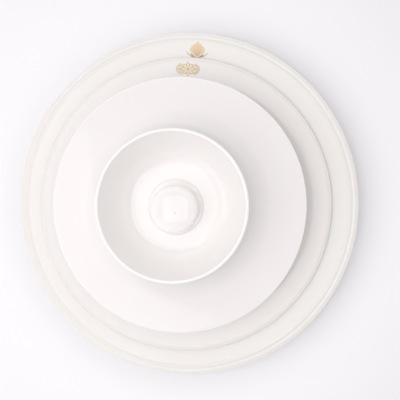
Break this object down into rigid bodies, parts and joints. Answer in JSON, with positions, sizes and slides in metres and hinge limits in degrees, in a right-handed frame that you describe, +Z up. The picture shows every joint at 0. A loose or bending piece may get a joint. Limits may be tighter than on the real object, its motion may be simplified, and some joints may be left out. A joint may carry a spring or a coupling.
{
  "type": "covered dish",
  "caption": "Covered dish of white glazed porcelain: a low bowl under a domed cover with a standing collar and sunken knob, set in a dish on a wide under plate with a beaded rim.",
  "frame": {"origin": "centre of the under plate's foot ring, in the plane of the table", "axes": "+Z up along the under plate's axis; +Y to the side where the gilt ornaments are; +X to the right of them"},
  "size_m": [0.27, 0.27, 0.0852],
  "materials": {
    "plate_glaze": "clear gloss glaze on warm white porcelain",
    "dish_glaze": "clear gloss glaze on warm white porcelain",
    "bowl_glaze": "clear gloss glaze on cool white porcelain",
    "cover_glaze": "clear gloss glaze on cool white porcelain",
    "gilt": "thin matt gilding fired on the glaze",
    "bare_foot": "ground, unglazed porcelain"
  },
  "bodies": {
    "under_plate": {"under_plate": "plate_glaze"},
    "dish": {"dish": "dish_glaze"},
    "bowl": {"bowl": "bowl_glaze"},
    "cover": {"cover": "cover_glaze", "cover_knob": "cover_glaze"}
  },
  "joints": [
    {"name": "dish_lift", "type": "slide", "parent": "under_plate", "child": "dish", "axis": [0, 0, 1], "range_m": [0, 0.06]},
    {"name": "bowl_lift", "type": "slide", "parent": "dish", "child": "bowl", "axis": [0, 0, 1], "range_m": [0, 0.06]},
    {"name": "cover_lift", "type": "slide", "parent": "bowl", "child": "cover", "axis": [0, 0, 1], "range_m": [0, 0.06]}
  ]
}
